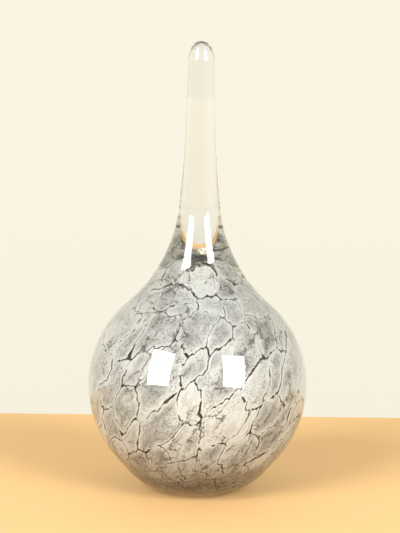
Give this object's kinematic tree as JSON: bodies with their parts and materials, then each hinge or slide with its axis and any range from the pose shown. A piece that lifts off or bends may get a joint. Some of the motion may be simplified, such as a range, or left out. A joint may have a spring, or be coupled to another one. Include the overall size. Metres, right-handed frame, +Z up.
{
  "type": "closed glass drop",
  "caption": "Closed hand-blown glass drop: a round bulb of white crackled enamel on dark veins, cased in clear glass and drawn up into a solid clear stem.",
  "frame": {"origin": "centre of the ground foot, on the surface that the drop stands on", "axes": "+Z up along the axis of the stem; -Y is the side that the reference view faces"},
  "size_m": [0.16, 0.16, 0.33],
  "materials": {
    "stem_glass": "clear, fire polished",
    "casing_glass": "clear, fire polished",
    "white_enamel": "opaque white-grey flakes, finely speckled",
    "dark_glass": "smoky black, streaked",
    "lining_glass": "clear",
    "seal_glass": "clear, ground flat underneath"
  },
  "bodies": {
    "root": {"drawn_stem": "stem_glass", "outer_casing": "casing_glass", "flakes_crown": "white_enamel", "flakes_shoulder": "white_enamel", "flakes_upper": "white_enamel", "flakes_middle": "white_enamel", "flakes_lower": "white_enamel", "flakes_heel": "white_enamel", "dark_veil": "dark_glass", "inner_bubble": "lining_glass", "base_seal": "seal_glass"}
  },
  "joints": []
}
